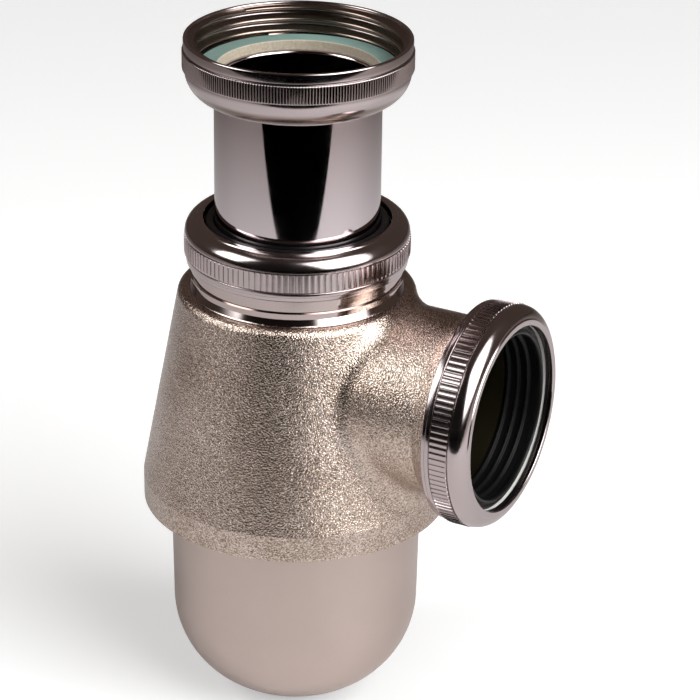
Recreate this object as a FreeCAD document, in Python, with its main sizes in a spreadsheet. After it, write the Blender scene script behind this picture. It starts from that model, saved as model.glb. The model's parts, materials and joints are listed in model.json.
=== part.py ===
import FreeCAD, Part
import math
import os

import Sketcher
from FreeCAD import Placement, Rotation, Vector

# A bottle trap for a washbasin. The inlet tube hangs from the basin waste by its
# union nut and carries the cast body, whose side branch takes the waste pipe.
#
# Frame: millimetres, +Z up along the inlet tube, +X out along the outlet branch.
# The origin is the centre of the inlet washer's top face, where the waste lands.

DRIVING_DIMENSIONS = [
    # G 1 1/4 pipe thread of the three nuts
    ("thread_pitch", 2.309),
    ("thread_major", 20.955),
    ("thread_minor", 19.476),
    ("thread_mean", 20.216),
    ("thread_play", 0.12),
    ("nut_crest", 19.7),
    ("spigot_crest", 20.85),
    ("spigot_root", 19.35),
    # how far behind a nut's face its thread groove crosses the plane of its profile
    ("thread_phase", 6.95),
    ("cup_thread_phase", 86.4),
    ("thread_clear", 0.2),
    # small edges: on a thread's end, on a step, and inside a narrow groove
    ("bevel", 0.4),
    ("edge_break", 0.1),
    ("fine_break", 0.05),
    ("overcut", 1.0),
    # the same thread form at G 1 3/4 between body and bottle
    ("cup_thread_mean", 26.134),
    ("skirt_crest", 25.47),
    ("skirt_root", 26.9),
    ("cup_crest", 26.75),
    ("cup_root", 25.25),
    # inlet tube and dip tube
    ("tube_outer", 16.0),
    ("tube_inner", 15.0),
    ("tube_end", 74.0),
    ("flange_outer", 19.3),
    ("flange_bottom", 3.1),
    ("dip_outer", 17.0),
    ("dip_inner", 16.15),
    ("dip_flange", 17.65),
    ("dip_ledge", 40.8),
    ("dip_flange_top", 39.6),
    ("dip_end", 117.0),
    # fibre washer
    ("washer_inner", 15.6),
    ("washer_outer", 19.3),
    ("washer_thick", 2.0),
    # inlet union nut, measured down from its rim
    ("rim_height", 6.05),
    ("rim_outer", 21.7),
    ("rim_band", 1.95),
    ("rim_step", 21.4),
    ("inlet_knurl_top", 2.35),
    ("inlet_knurl_bottom", 5.8),
    ("inlet_shoulder", 21.5),
    ("inlet_shoulder_top", 6.05),
    ("inlet_shoulder_arc", 5.6),
    ("inlet_lip_outer", 17.5),
    ("inlet_lip_foot", 17.1),
    ("inlet_lip_top", 10.6),
    ("inlet_nut_height", 11.35),
    ("inlet_nut_hole", 16.35),
    ("inlet_nut_bore", 19.8),
    ("ridge_land", 0.35),
    ("ridge_foot", 1.0),
    # slip nuts at the body's neck and at the outlet, measured back from their faces
    ("nut_hole", 18.2),
    ("nut_face", 19.0),
    ("nut_shoulder", 21.75),
    ("nut_shoulder_depth", 3.1),
    ("nut_shoulder_arc", 3.2),
    ("nut_step", 21.4),
    ("nut_knurl", 21.95),
    ("nut_knurl_top", 3.45),
    ("nut_knurl_bottom", 6.95),
    ("nut_skirt", 21.55),
    ("nut_skirt_top", 7.2),
    ("nut_height", 8.9),
    ("nut_mouth", 21.05),
    ("nut_mouth_depth", 1.7),
    ("nut_lip", 1.6),
    ("ring_inner", 18.3),
    ("ring_outer", 19.35),
    ("ring_thick", 0.8),
    ("seal_flange", 19.2),
    ("seat_depth", 4.3),
    ("knurl_depth", 0.2),
    ("knurl_overrun", 0.03),
    # rubber seals
    ("slip_seal_bore", 16.05),
    ("seal_bead", 17.9),
    ("slip_bead_drop", 0.5),
    ("slip_bead_round", 0.9),
    ("slip_bead_crown", 1.0),
    ("slip_bead_fall", 0.6),
    ("outlet_bead_drop", 1.9),
    ("outlet_bead_foot", 17.2),
    ("outlet_bead_round", 0.6),
    ("outlet_bead_back", 2.6),
    ("seal_sleeve", 17.6),
    ("seal_lip", 16.05),
    ("seal_valley", 16.65),
    ("first_lip", 4.6),
    ("lip_pitch", 2.1),
    ("lip_land", 0.12),
    ("lip_foot", 0.35),
    # where the slip nut and the outlet nut stand
    ("slip_nut_top", 30.1),
    ("outlet_face", 47.2),
    ("outlet_drop", 62.4),
    # cast body
    ("neck_bore", 17.75),
    ("neck_throat", 17.1),
    ("collar_bottom", 40.6),
    ("collar_outer", 20.66),
    ("collar_top", 39.4),
    ("spigot_start", 39.2),
    ("groove_bottom", 41.9),
    ("groove_outer", 20.25),
    ("bead_bottom", 42.15),
    ("bead_outer", 20.75),
    ("band_bottom", 43.1),
    ("band_outer", 20.5),
    ("shoulder_top", 44.4),
    ("shoulder_inner", 21.1),
    ("shoulder_outer", 23.06),
    ("shoulder_round", 1.8),
    ("cone_bottom_radius", 30.46),
    ("cone_bottom", 84.3),
    ("skirt_bottom", 89.7),
    ("skirt_edge", 0.4),
    ("skirt_counterbore", 27.2),
    ("counterbore_top", 87.2),
    ("skirt_lead_in", 0.8),
    ("relief_outer", 27.0),
    ("relief_bottom", 78.8),
    ("ledge", 76.2),
    ("cavity_radius", 23.0),
    ("cavity_cone_bottom", 61.0),
    ("cavity_top_radius", 20.6),
    ("cavity_top", 50.0),
    ("throat_bottom", 46.6),
    ("branch_outer", 17.6),
    ("branch_fillet", 5.0),
    ("branch_flare", 34.5),
    ("branch_flare_end", 38.3),
    ("branch_flare_outer", 19.2),
    ("branch_collar", 38.7),
    ("socket_radius", 16.3),
    ("socket_end", 31.0),
    ("passage_radius", 13.0),
    ("mouth_radius", 17.65),
    ("mouth_end", 37.6),
    # bottle and its gasket
    ("cup_rim", 78.2),
    ("cup_thread_end", 86.6),
    ("cup_top_radius", 25.05),
    ("cup_low_radius", 24.7),
    ("cup_corner", 20.0),
    ("cup_flat", 4.7),
    ("cup_bottom", 132.0),
    ("cup_inner", 23.2),
    ("cup_floor", 130.0),
    ("cup_inner_corner", 18.2),
    ("gasket_inner", 23.4),
    ("gasket_outer", 25.3),
]

INLET_KNURL_TEETH = 240
SLIP_KNURL_TEETH = 120
SLIP_KNURL_FLAT = 0.8
INLET_RIDGES = 3
SEAL_LIPS = 3
FLANK_ANGLE = math.radians(27.5)

# Turns of each helical groove, and how many of them lie before its phase mark.
NUT_TURNS, NUT_LEAD = 3.5, 2
SPIGOT_TURNS, SPIGOT_LEAD = 2.5, 0.5
CUP_TURNS, CUP_LEAD = 5.5, 1
SKIRT_TURNS, SKIRT_LEAD = 5, 1.5

OUTWARD = Rotation(Vector(0, 1, 0), 90)
AXIS_LENGTH = 10
TOLERANCE = 0.02
EDGE_SAMPLES = 9

doc = FreeCAD.newDocument("bottle_trap")
sheet = doc.addObject("Spreadsheet::Sheet", "dims")


def fill_sheet():
    """Write each driving dimension into its own named cell."""
    for row, (alias, size) in enumerate(DRIVING_DIMENSIONS, start=1):
        sheet.set(f"A{row}", alias)
        sheet.set(f"B{row}", str(size))
        sheet.setAlias(f"B{row}", alias)
    doc.recompute()


def number(expression):
    """The present value of an expression over the sheet's cells."""
    return float(sheet.evalExpression(expression))


def origin_plane(body, role):
    """One of a body's own origin planes."""
    return next(plane for plane in body.Origin.OriginFeatures if plane.Role == role)


def new_body(label):
    body = doc.addObject("PartDesign::Body", label)
    body.Label = label
    return body


def place(body, rotation=Rotation(), **offsets):
    """Put a body at its place in the trap, each offset bound to the sheet."""
    body.Placement = Placement(Vector(0, 0, 0), rotation)
    for axis, expression in offsets.items():
        body.setExpression(f"Placement.Base.{axis}", expression)


def new_sketch(body, name, role="XZ_Plane"):
    sketch = body.newObject("Sketcher::SketchObject", name)
    sketch.AttachmentSupport = (origin_plane(body, role), [""])
    sketch.MapMode = "FlatFace"
    return sketch


def arc_edge(begin, end, radius, turn):
    """The short arc of a radius from begin to end, turning left (1) or right (-1)."""
    chord = end - begin
    rise = math.sqrt(max(radius**2 - (chord.Length / 2) ** 2, 0))
    left = Vector(-chord.y, chord.x, 0).normalize()
    middle = (begin + end) * 0.5
    top = middle - left * turn * (radius - rise)
    return Part.Arc(begin, top, end)


def pin_corner(sketch, edge, spot, name, across, up):
    """Hold one corner at its two coordinates, each bound to the sheet."""
    for kind, letter, expression, axis in (
        ("DistanceX", "r", across, -2),
        ("DistanceY", "z", up, -1),
    ):
        size = number(expression)
        if not size:
            sketch.addConstraint(Sketcher.Constraint("PointOnObject", edge, spot, axis))
            continue
        index = sketch.addConstraint(Sketcher.Constraint(kind, -1, 1, edge, spot, size))
        sketch.renameConstraint(index, f"{letter}{name}")
        sketch.setExpression(f"Constraints.{letter}{name}", expression)


def draw_outline(sketch, corners):
    """Close a profile through its corners.

    A corner is (across, up), or (across, up, radius, turn) when an arc arrives there.
    """
    spots = [Vector(number(c[0]), number(c[1]), 0) for c in corners]
    first = sketch.GeometryCount
    ends = []
    for i, corner in enumerate(corners):
        if len(corner) == 2:
            sketch.addGeometry(Part.LineSegment(spots[i - 1], spots[i]), False)
            ends.append((1, 2))
        else:
            edge = arc_edge(spots[i - 1], spots[i], number(corner[2]), corner[3])
            sketch.addGeometry(edge, False)
            ends.append((1, 2) if corner[3] > 0 else (2, 1))
    for i, corner in enumerate(corners):
        before = i - 1 if i else len(corners) - 1
        edge, last = first + i, first + before
        sketch.addConstraint(
            Sketcher.Constraint("Coincident", last, ends[before][1], edge, ends[i][0])
        )
        pin_corner(sketch, edge, ends[i][1], f"{first + i}", corner[0], corner[1])
        if len(corner) > 2:
            size = number(corner[2])
            index = sketch.addConstraint(Sketcher.Constraint("Radius", edge, size))
            sketch.renameConstraint(index, f"arc{first + i}")
            sketch.setExpression(f"Constraints.arc{first + i}", corner[2])


def add_axis(sketch, drop):
    """A construction line along +X at a stated drop, used as an axis of revolution."""
    height = number(drop)
    line = Part.LineSegment(Vector(0, height, 0), Vector(AXIS_LENGTH, height, 0))
    edge = sketch.addGeometry(line, True)
    pin_corner(sketch, edge, 1, "axis", "0", drop)
    sketch.addConstraint(Sketcher.Constraint("Horizontal", edge))
    sketch.addConstraint(Sketcher.Constraint("Distance", edge, AXIS_LENGTH))


def revolve(body, name, sketch, axis="V_Axis", cut=False):
    """Turn a profile round an axis of its sketch, adding to the body or cutting it."""
    kind = "PartDesign::Groove" if cut else "PartDesign::Revolution"
    feature = body.newObject(kind, name)
    feature.Profile = sketch
    feature.ReferenceAxis = (sketch, [axis])
    feature.Angle = 360
    doc.recompute()
    return feature


def turned(label, corners):
    """A body that is one turned profile."""
    body = new_body(label)
    sketch = new_sketch(body, f"{label}_profile")
    draw_outline(sketch, corners)
    revolve(body, f"{label}_turned", sketch)
    return body


def thread_groove(body, name, start, length, mean, deep, open_edge, drop=None):
    """Cut one helical groove of the pipe thread.

    start is where the groove's middle begins on the axis, deep its bottom radius and
    open_edge a radius just clear of the crest. A groove whose bottom is the larger
    radius is inside a nut. drop moves the axis down and lays it along +X.
    """
    inside = number(deep) > number(open_edge)
    slope = math.tan(FLANK_ANGLE)
    slack = "0" if inside else "dims.thread_play"
    sign = -1 if inside else 1
    halves = {
        spot: f"dims.thread_pitch / 4 + ({sign * slope}) * (({spot}) - ({mean})) + {slack}"
        for spot in (deep, open_edge)
    }
    corners = [
        (open_edge, f"({start}) - ({halves[open_edge]})"),
        (open_edge, f"({start}) + ({halves[open_edge]})"),
        (deep, f"({start}) + ({halves[deep]})"),
        (deep, f"({start}) - ({halves[deep]})"),
    ]
    axis = "V_Axis"
    if drop:
        corners = [(along, f"({drop}) - ({out})") for out, along in corners]
        axis = "Axis0"
    sketch = new_sketch(body, f"{name}_profile")
    draw_outline(sketch, corners)
    if drop:
        add_axis(sketch, drop)
    groove = body.newObject("PartDesign::SubtractiveHelix", name)
    groove.Profile = sketch
    groove.ReferenceAxis = (sketch, [axis])
    groove.Mode = 0
    groove.setExpression("Pitch", "dims.thread_pitch")
    groove.setExpression("Height", length)
    groove.LeftHanded = False
    doc.recompute()
    return groove


def knurl(body, name, teeth, notch, top, bottom):
    """Cut a band of straight notches round a nut; notch holds (across, up) corners."""
    sketch = new_sketch(body, f"{name}_notch", "XY_Plane")
    draw_outline(sketch, notch)
    sketch.setExpression("AttachmentOffset.Base.z", f"-{bottom} - dims.knurl_overrun")
    pocket = body.newObject("PartDesign::Pocket", name)
    pocket.Profile = sketch
    pocket.setExpression("Length", f"{bottom} - {top} + 2 * dims.knurl_overrun")
    pocket.Reversed = True
    doc.recompute()
    pattern = body.newObject("PartDesign::PolarPattern", f"{name}_band")
    pattern.Originals = [pocket]
    pattern.Axis = (sketch, ["N_Axis"])
    pattern.Angle = 360
    pattern.Occurrences = teeth
    body.Tip = pattern
    doc.recompute()


def inlet_tube():
    """Chromed tube with a turned-out flange that the union nut pulls up."""
    return turned(
        "inlet_tube",
        [
            ("dims.tube_inner", "-dims.tube_end"),
            ("dims.tube_outer", "-dims.tube_end"),
            ("dims.tube_outer", "-dims.flange_bottom"),
            ("dims.flange_outer", "-dims.flange_bottom"),
            ("dims.flange_outer", "-dims.washer_thick"),
            ("dims.tube_inner", "-dims.washer_thick"),
        ],
    )


def flat_ring(label, inner, outer, bottom, top):
    """A flat ring between two heights."""
    return turned(label, [(inner, bottom), (outer, bottom), (outer, top), (inner, top)])


def dip_tube():
    """Plastic tube that carries the water to the bottom of the bottle."""
    return turned(
        "dip_tube",
        [
            ("dims.dip_inner", "-dims.dip_end"),
            ("dims.dip_outer", "-dims.dip_end"),
            ("dims.dip_outer", "-dims.dip_ledge"),
            ("dims.dip_flange", "-dims.dip_ledge"),
            ("dims.dip_flange", "-dims.dip_flange_top"),
            ("dims.dip_inner", "-dims.dip_flange_top"),
        ],
    )


def inlet_nut():
    """Union nut: threaded mouth up, bowl-shaped shoulder under the tube's flange."""
    corners = [
        ("dims.inlet_nut_hole", "-dims.inlet_nut_height"),
        ("dims.inlet_lip_foot", "-dims.inlet_nut_height"),
        ("dims.inlet_lip_outer", "-dims.inlet_lip_top"),
        (
            "dims.inlet_shoulder",
            "-dims.inlet_shoulder_top",
            "dims.inlet_shoulder_arc",
            1,
        ),
        ("dims.nut_knurl", "-dims.inlet_knurl_bottom"),
        ("dims.nut_knurl", "-dims.inlet_knurl_top"),
        ("dims.rim_step", "-dims.inlet_knurl_top + dims.edge_break"),
        ("dims.rim_step", "-dims.rim_band - dims.edge_break"),
        ("dims.rim_outer", "-dims.rim_band"),
        ("dims.rim_outer", "-dims.bevel"),
        ("dims.rim_outer - dims.bevel / 2", "0"),
        ("dims.thread_major + dims.edge_break", "0"),
        ("dims.thread_major", "-dims.bevel"),
    ]
    for ridge in reversed(range(INLET_RIDGES)):
        middle = f"dims.ridge_land + {ridge} * dims.thread_pitch - dims.rim_height"
        corners += [
            ("dims.thread_major", f"{middle} + dims.ridge_foot"),
            ("dims.thread_minor", f"{middle} + dims.ridge_land"),
            ("dims.thread_minor", f"{middle} - dims.ridge_land"),
        ]
        if ridge:
            corners.append(("dims.thread_major", f"{middle} - dims.ridge_foot"))
    seat = "-dims.rim_height - dims.flange_bottom"
    corners += [
        ("dims.inlet_nut_bore", "-dims.rim_height"),
        ("dims.inlet_nut_bore", seat),
        ("dims.inlet_nut_hole", seat),
    ]
    body = turned("inlet_nut", corners)
    half = f"dims.nut_knurl * {math.tan(math.pi / INLET_KNURL_TEETH)}"
    notch = [
        ("dims.nut_knurl - dims.knurl_depth", "0"),
        ("dims.nut_knurl + dims.fine_break", f"-({half})"),
        ("dims.nut_knurl + dims.fine_break", half),
    ]
    knurl(
        body,
        "inlet_knurl",
        INLET_KNURL_TEETH,
        notch,
        "dims.inlet_knurl_top",
        "dims.inlet_knurl_bottom",
    )
    place(body, z="dims.rim_height")
    return body


def slip_nut(label):
    """Compression nut: round shoulder, knurled band and plain threaded skirt."""
    body = turned(
        label,
        [
            ("dims.nut_mouth", "-dims.nut_height"),
            ("dims.nut_skirt - dims.edge_break", "-dims.nut_height"),
            ("dims.nut_skirt", "-dims.nut_height + dims.edge_break"),
            ("dims.nut_skirt", "-dims.nut_skirt_top"),
            ("dims.nut_step", "-dims.nut_skirt_top + dims.fine_break"),
            ("dims.nut_step", "-dims.nut_knurl_bottom - dims.fine_break"),
            ("dims.nut_knurl", "-dims.nut_knurl_bottom"),
            ("dims.nut_knurl", "-dims.nut_knurl_top"),
            ("dims.nut_step", "-dims.nut_knurl_top + dims.fine_break"),
            ("dims.nut_step", "-dims.nut_shoulder_depth - dims.edge_break"),
            ("dims.nut_shoulder", "-dims.nut_shoulder_depth"),
            ("dims.nut_face", "0", "dims.nut_shoulder_arc", 1),
            ("dims.nut_hole", "0"),
            ("dims.nut_hole", "-dims.nut_lip"),
            ("dims.nut_crest", "-dims.nut_lip"),
            ("dims.nut_crest", "-dims.nut_height + dims.nut_mouth_depth"),
            ("dims.nut_mouth", "-dims.nut_height + dims.nut_mouth_depth"),
        ],
    )
    half = f"dims.nut_knurl * {math.tan(SLIP_KNURL_FLAT * math.pi / SLIP_KNURL_TEETH)}"
    notch = [
        ("dims.nut_knurl - dims.knurl_depth", f"-({half})"),
        ("dims.nut_knurl + dims.edge_break", f"-({half})"),
        ("dims.nut_knurl + dims.edge_break", half),
        ("dims.nut_knurl - dims.knurl_depth", half),
    ]
    knurl(
        body,
        f"{label}_knurl",
        SLIP_KNURL_TEETH,
        notch,
        "dims.nut_knurl_top",
        "dims.nut_knurl_bottom",
    )
    thread_groove(
        body,
        f"{label}_thread",
        start=f"-dims.thread_phase - {NUT_LEAD} * dims.thread_pitch",
        length=f"{NUT_TURNS} * dims.thread_pitch",
        mean="dims.thread_mean",
        deep="dims.thread_major",
        open_edge="dims.nut_crest - dims.thread_clear",
    )
    return body


def slip_seal():
    """Rubber seal squeezed round the inlet tube in the body's neck."""
    top = "-dims.slip_nut_top"
    flange = f"{top} - dims.nut_lip - dims.ring_thick"
    neck = f"{top} - dims.seat_depth"
    crown = f"{top} - dims.slip_bead_drop"
    return turned(
        "slip_seal",
        [
            ("dims.slip_seal_bore", "-dims.dip_flange_top"),
            ("dims.seal_sleeve", "-dims.dip_flange_top"),
            ("dims.seal_sleeve", neck),
            ("dims.seal_flange", neck),
            ("dims.seal_flange", flange),
            ("dims.seal_bead", flange),
            ("dims.seal_bead", f"{crown} - dims.slip_bead_round"),
            (
                "dims.seal_bead - dims.slip_bead_round",
                crown,
                "dims.slip_bead_round",
                1,
            ),
            (
                "dims.slip_seal_bore",
                f"{crown} - dims.slip_bead_fall",
                "dims.slip_bead_crown",
                1,
            ),
        ],
    )


def outlet_seal():
    """Ribbed rubber sleeve that grips the waste pipe in the outlet."""
    flange = "-dims.nut_lip - dims.ring_thick"
    end = "dims.mouth_end - dims.outlet_face"
    corners = [
        ("dims.seal_valley", end),
        ("dims.seal_sleeve", end),
        ("dims.seal_sleeve", "-dims.seat_depth"),
        ("dims.seal_flange", "-dims.seat_depth"),
        ("dims.seal_flange", flange),
        ("dims.seal_bead", flange),
        ("dims.seal_bead", "-dims.outlet_bead_drop"),
        ("dims.outlet_bead_foot", "-dims.outlet_bead_drop"),
        ("dims.seal_lip", "-dims.outlet_bead_drop", "dims.outlet_bead_round", 1),
        ("dims.seal_valley", "-dims.outlet_bead_back"),
    ]
    for lip in range(SEAL_LIPS):
        middle = f"-dims.first_lip - {lip} * dims.lip_pitch"
        corners += [
            ("dims.seal_valley", f"{middle} + dims.lip_foot"),
            ("dims.seal_lip", f"{middle} + dims.lip_land"),
            ("dims.seal_lip", f"{middle} - dims.lip_land"),
            ("dims.seal_valley", f"{middle} - dims.lip_foot"),
        ]
    body = turned("outlet_seal", corners)
    place(body, OUTWARD, x="dims.outlet_face", z="-dims.outlet_drop")
    return body


def bottle_cup():
    """Unscrewing bottle that holds the water seal."""
    body = turned(
        "bottle_cup",
        [
            ("0", "-dims.cup_bottom"),
            ("dims.cup_flat", "-dims.cup_bottom"),
            (
                "dims.cup_low_radius",
                "-dims.cup_bottom + dims.cup_corner",
                "dims.cup_corner",
                1,
            ),
            ("dims.cup_top_radius", "-dims.cup_thread_end - dims.bevel"),
            ("dims.cup_crest", "-dims.cup_thread_end"),
            ("dims.cup_crest", "-dims.cup_rim - dims.bevel"),
            ("dims.cup_crest - dims.bevel", "-dims.cup_rim"),
            ("dims.cup_inner", "-dims.cup_rim"),
            ("dims.cup_inner", "-dims.cup_floor + dims.cup_inner_corner"),
            (
                "dims.cup_inner - dims.cup_inner_corner",
                "-dims.cup_floor",
                "dims.cup_inner_corner",
                -1,
            ),
            ("0", "-dims.cup_floor"),
        ],
    )
    thread_groove(
        body,
        "bottle_cup_thread",
        start=f"-dims.cup_thread_phase - {CUP_LEAD} * dims.thread_pitch",
        length=f"{CUP_TURNS} * dims.thread_pitch",
        mean="dims.cup_thread_mean",
        deep="dims.cup_root",
        open_edge="dims.cup_crest + dims.thread_clear",
    )
    return body


def trap_body():
    """Cast body: threaded neck, cone and skirt, with the outlet branch at its side."""
    body = new_body("trap_body")
    neck = "-dims.slip_nut_top - dims.seat_depth"
    shell = new_sketch(body, "shell_profile")
    draw_outline(
        shell,
        [
            ("0", "-dims.skirt_bottom"),
            ("dims.cone_bottom_radius - dims.skirt_edge", "-dims.skirt_bottom"),
            (
                "dims.cone_bottom_radius",
                "-dims.skirt_bottom + dims.skirt_edge",
                "dims.skirt_edge",
                1,
            ),
            ("dims.cone_bottom_radius", "-dims.cone_bottom"),
            ("dims.shoulder_outer", "-dims.shoulder_top"),
            ("dims.shoulder_inner", "-dims.shoulder_top"),
            ("dims.band_outer", "-dims.band_bottom"),
            ("dims.band_outer", "-dims.bead_bottom"),
            ("dims.bead_outer", "-dims.bead_bottom + dims.fine_break"),
            ("dims.bead_outer", "-dims.groove_bottom"),
            ("dims.groove_outer", "-dims.groove_bottom + dims.edge_break"),
            ("dims.groove_outer", "-dims.collar_bottom - dims.edge_break"),
            ("dims.collar_outer", "-dims.collar_bottom"),
            ("dims.collar_outer", "-dims.collar_top"),
            ("dims.spigot_crest", "-dims.spigot_start"),
            ("dims.spigot_crest", f"{neck} - dims.bevel"),
            ("dims.spigot_crest - dims.bevel", neck),
            ("0", neck),
        ],
    )
    turned_shell = revolve(body, "shell", shell)
    shoulder = edges_on_ring(turned_shell, "dims.shoulder_outer", "-dims.shoulder_top")
    fillet(body, "shoulder_blend", turned_shell, shoulder, "dims.shoulder_round")
    branch = new_sketch(body, "branch_profile")
    axis = "-dims.outlet_drop"
    end = "dims.outlet_face - dims.seat_depth"
    draw_outline(
        branch,
        [
            ("0", axis),
            (end, axis),
            (end, f"{axis} + dims.spigot_crest - dims.bevel"),
            (f"{end} - dims.bevel", f"{axis} + dims.spigot_crest"),
            ("dims.branch_collar", f"{axis} + dims.spigot_crest"),
            ("dims.branch_collar", f"{axis} + dims.branch_flare_outer"),
            ("dims.branch_flare_end", f"{axis} + dims.branch_flare_outer"),
            ("dims.branch_flare", f"{axis} + dims.branch_outer"),
            ("0", f"{axis} + dims.branch_outer"),
        ],
    )
    add_axis(branch, axis)
    joined = revolve(body, "branch", branch, "Axis0")
    fillet(body, "branch_blend", joined, branch_root(joined), "dims.branch_fillet")
    hollow_body(body)
    mark = f"dims.thread_phase - {SPIGOT_LEAD} * dims.thread_pitch"
    thread_groove(
        body,
        "neck_thread",
        start=f"-dims.slip_nut_top - {mark}",
        length=f"{SPIGOT_TURNS} * dims.thread_pitch",
        mean="dims.thread_mean",
        deep="dims.spigot_root",
        open_edge="dims.spigot_crest + dims.thread_clear",
    )
    thread_groove(
        body,
        "branch_thread",
        start=f"dims.outlet_face - {mark}",
        length=f"{SPIGOT_TURNS} * dims.thread_pitch",
        mean="dims.thread_mean",
        deep="dims.spigot_root",
        open_edge="dims.spigot_crest + dims.thread_clear",
        drop=axis,
    )
    thread_groove(
        body,
        "skirt_thread",
        start=f"-dims.cup_thread_phase - {SKIRT_LEAD} * dims.thread_pitch",
        length=f"{SKIRT_TURNS} * dims.thread_pitch",
        mean="dims.cup_thread_mean",
        deep="dims.skirt_root",
        open_edge="dims.skirt_crest - dims.thread_clear",
    )
    return body


def edges_on_ring(feature, radius, height):
    """Names of the edges that circle the trap's axis at a radius and height."""
    names = []
    for index, edge in enumerate(feature.Shape.Edges, start=1):
        spots = edge.discretize(EDGE_SAMPLES)
        off_ring = [math.hypot(spot.x, spot.y) - number(radius) for spot in spots]
        off_height = [spot.z - number(height) for spot in spots]
        if max(map(abs, off_ring + off_height)) < TOLERANCE:
            names.append(f"Edge{index}")
    return names


def branch_root(feature):
    """Names of the edges where the branch meets the cone and its shoulder."""
    names = []
    for index, edge in enumerate(feature.Shape.Edges, start=1):
        spots = edge.discretize(EDGE_SAMPLES)
        radii = [math.hypot(spot.y, spot.z + number("dims.outlet_drop")) for spot in spots]
        far = max(spot.x for spot in spots)
        near = min(spot.x for spot in spots)
        off_branch = max(abs(radius - number("dims.branch_outer")) for radius in radii)
        along_branch = far - near > TOLERANCE and far < number("dims.branch_flare")
        if off_branch < TOLERANCE and along_branch:
            names.append(f"Edge{index}")
    return names


def fillet(body, name, base, edges, radius):
    """Round the named edges of a feature."""
    blend = body.newObject("PartDesign::Fillet", name)
    blend.Base = (base, edges)
    blend.setExpression("Radius", radius)
    doc.recompute()


def hollow_body(body):
    """Cut the neck bore, cavity and bottle socket, then the pipe socket."""
    neck = "-dims.slip_nut_top - dims.seat_depth"
    cavity = new_sketch(body, "cavity_profile")
    draw_outline(
        cavity,
        [
            ("0", "-dims.skirt_bottom - dims.overcut"),
            ("dims.skirt_counterbore", "-dims.skirt_bottom - dims.overcut"),
            ("dims.skirt_counterbore", "-dims.counterbore_top"),
            ("dims.skirt_crest", "-dims.counterbore_top + dims.skirt_lead_in"),
            ("dims.skirt_crest", "-dims.relief_bottom - dims.skirt_lead_in"),
            ("dims.relief_outer", "-dims.relief_bottom"),
            ("dims.relief_outer", "-dims.ledge"),
            ("dims.cavity_radius", "-dims.ledge"),
            ("dims.cavity_radius", "-dims.cavity_cone_bottom"),
            ("dims.cavity_top_radius", "-dims.cavity_top"),
            ("dims.neck_throat", "-dims.throat_bottom"),
            ("dims.neck_throat", "-dims.dip_ledge"),
            ("dims.neck_bore", "-dims.dip_ledge"),
            ("dims.neck_bore", f"{neck} + dims.overcut"),
            ("0", f"{neck} + dims.overcut"),
        ],
    )
    revolve(body, "cavity", cavity, cut=True)
    passage = new_sketch(body, "passage_profile")
    axis = "-dims.outlet_drop"
    end = "dims.outlet_face - dims.seat_depth + dims.overcut"
    draw_outline(
        passage,
        [
            ("0", axis),
            (end, axis),
            (end, f"{axis} + dims.mouth_radius"),
            ("dims.mouth_end", f"{axis} + dims.mouth_radius"),
            ("dims.mouth_end", f"{axis} + dims.socket_radius"),
            ("dims.socket_end", f"{axis} + dims.socket_radius"),
            ("dims.socket_end", f"{axis} + dims.passage_radius"),
            ("0", f"{axis} + dims.passage_radius"),
        ],
    )
    add_axis(passage, axis)
    revolve(body, "passage", passage, "Axis0", cut=True)


def build():
    """Make every sub-part at its place in the trap."""
    ring_top = "-dims.slip_nut_top - dims.nut_lip"
    upper_nut = slip_nut("slip_nut")
    place(upper_nut, z="-dims.slip_nut_top")
    side_nut = slip_nut("outlet_nut")
    place(side_nut, OUTWARD, x="dims.outlet_face", z="-dims.outlet_drop")
    side_ring = flat_ring(
        "outlet_ring",
        "dims.ring_inner",
        "dims.ring_outer",
        "-dims.nut_lip - dims.ring_thick",
        "-dims.nut_lip",
    )
    place(side_ring, OUTWARD, x="dims.outlet_face", z="-dims.outlet_drop")
    return [
        inlet_tube(),
        flat_ring(
            "inlet_washer",
            "dims.washer_inner",
            "dims.washer_outer",
            "-dims.washer_thick",
            "0",
        ),
        inlet_nut(),
        trap_body(),
        dip_tube(),
        slip_seal(),
        flat_ring(
            "slip_ring",
            "dims.ring_inner",
            "dims.ring_outer",
            f"{ring_top} - dims.ring_thick",
            ring_top,
        ),
        upper_nut,
        outlet_seal(),
        side_ring,
        side_nut,
        flat_ring(
            "cup_gasket",
            "dims.gasket_inner",
            "dims.gasket_outer",
            "-dims.cup_rim",
            "-dims.ledge",
        ),
        bottle_cup(),
    ]


def check(parts):
    """Stop if any feature failed or any sub-part isn't one sound solid."""
    for thing in doc.Objects:
        if "Invalid" in thing.State or "Error" in thing.State:
            raise RuntimeError(f"{thing.Label} failed: {thing.State}")
    for part in parts:
        shape = part.Shape
        if shape.isNull() or not shape.isValid() or len(shape.Solids) != 1:
            raise RuntimeError(f"{part.Label} isn't one valid solid")


def export(parts):
    os.makedirs("parts", exist_ok=True)
    for part in parts:
        part.Shape.exportStep(f"parts/{part.Label}.step")
        print(f"{part.Label}: {part.Shape.Volume:.0f} mm3")


fill_sheet()
sub_parts = build()
doc.recompute()
check(sub_parts)
export(sub_parts)
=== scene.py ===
import json
import math

import bmesh
import bpy
from mathutils import Matrix, Vector


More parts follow.
